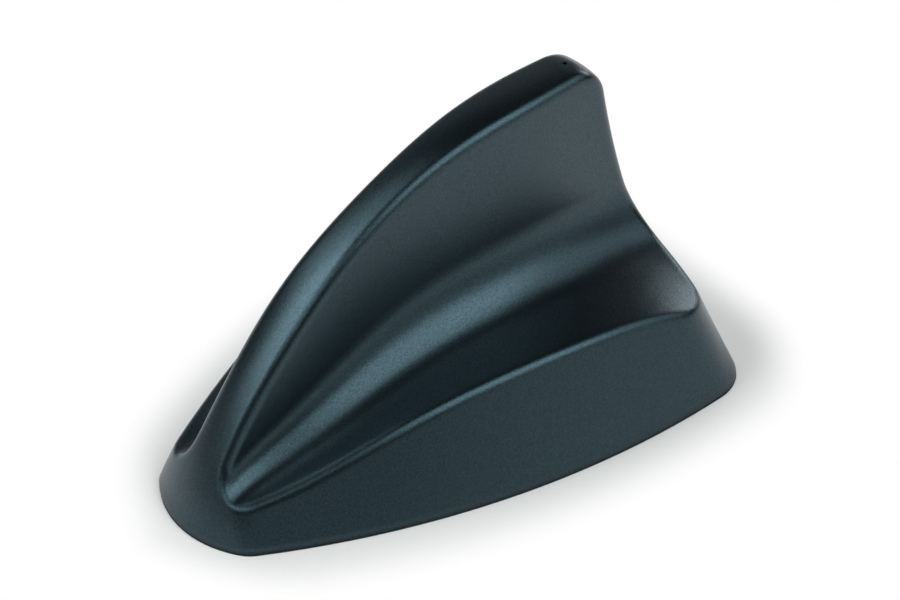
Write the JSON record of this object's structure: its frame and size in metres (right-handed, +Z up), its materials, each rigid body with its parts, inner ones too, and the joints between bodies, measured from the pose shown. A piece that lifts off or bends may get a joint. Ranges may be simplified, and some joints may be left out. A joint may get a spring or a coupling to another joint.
{
  "type": "shark fin aerial",
  "caption": "Shark fin roof aerial: swept moulded fin cover with hollowed sides on a flared teardrop foot, closed below by a cast plate with seal, bolt bush and cable outlet.",
  "frame": {"origin": "middle of the foot's bounding box, on the roof plane that the seal rests on", "axes": "+X from nose to rear, +Y to the right-hand side seen from the rear, +Z up out of the roof"},
  "size_m": [0.123, 0.077, 0.0671],
  "materials": {
    "cover_plastic": "fine-grained satin black moulding",
    "seal_rubber": "matt black rubber",
    "cast_metal": "raw die casting",
    "brass": "turned brass",
    "gland_rubber": "matt rubber",
    "screw_steel": "zinc-plated steel",
    "board_green": "solder mask on glass-fibre board",
    "tin_sheet": "tinned sheet",
    "former_plastic": "natural moulded plastic",
    "copper_wire": "enamelled copper wire",
    "chip_black": "moulded chip body",
    "cap_ceramic": "ceramic chip",
    "choke_ferrite": "sintered ferrite",
    "socket_gold": "plated connector body"
  },
  "bodies": {
    "root": {"cover": "cover_plastic", "base_plate": "cast_metal", "roof_seal": "seal_rubber", "hub_seal": "seal_rubber", "threaded_bush": "brass", "cable_gland": "gland_rubber", "cover_screws": "screw_steel", "main_board": "board_green", "board_screws": "screw_steel", "fin_board": "board_green", "top_plate": "tin_sheet", "plate_rivets": "brass", "board_brackets": "tin_sheet", "coil_former": "former_plastic", "coil_winding": "copper_wire", "shield_can": "tin_sheet", "amplifier_chip": "chip_black", "board_capacitors": "cap_ceramic", "board_chokes": "choke_ferrite", "cable_socket": "socket_gold"}
  },
  "joints": []
}
